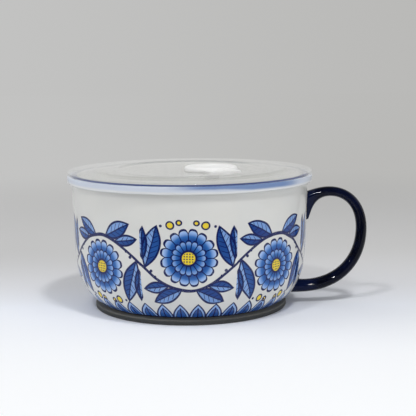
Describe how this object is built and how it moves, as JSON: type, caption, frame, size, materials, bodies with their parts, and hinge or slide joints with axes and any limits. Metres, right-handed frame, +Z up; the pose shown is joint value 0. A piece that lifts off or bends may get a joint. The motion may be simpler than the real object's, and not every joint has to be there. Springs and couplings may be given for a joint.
{
  "type": "lidded bowl",
  "caption": "Round glazed porcelain bowl with a loop handle on one side and a clear lid over a soft seal ring, with a pull-up steam vent plug.",
  "frame": {"origin": "bottom centre of the part's box, on the table plane under the foot ring", "axes": "+X towards the handle, +Z up along the bowl's axis, +Y away from the viewer who has the handle on the right"},
  "size_m": [0.178, 0.1448, 0.0844],
  "materials": {
    "white_glaze": "gloss white glaze with a blue print under the glaze",
    "navy_glaze": "gloss navy glaze",
    "clear_plastic": "clear gloss moulding",
    "milky_silicone": "milky translucent, satin",
    "white_silicone": "satin white"
  },
  "bodies": {
    "bowl": {"bowl_body": "white_glaze", "handle": "navy_glaze"},
    "lid": {"lid_panel": "clear_plastic", "lid_seal": "milky_silicone"},
    "vent": {"vent_plug": "white_silicone"}
  },
  "joints": [
    {"name": "lid_lift", "type": "slide", "parent": "bowl", "child": "lid", "axis": [0, 0, 1], "range_m": [0, 0.1]},
    {"name": "vent_pull", "type": "slide", "parent": "lid", "child": "vent", "axis": [0, 0, 1], "range_m": [0, 0.0022]}
  ]
}
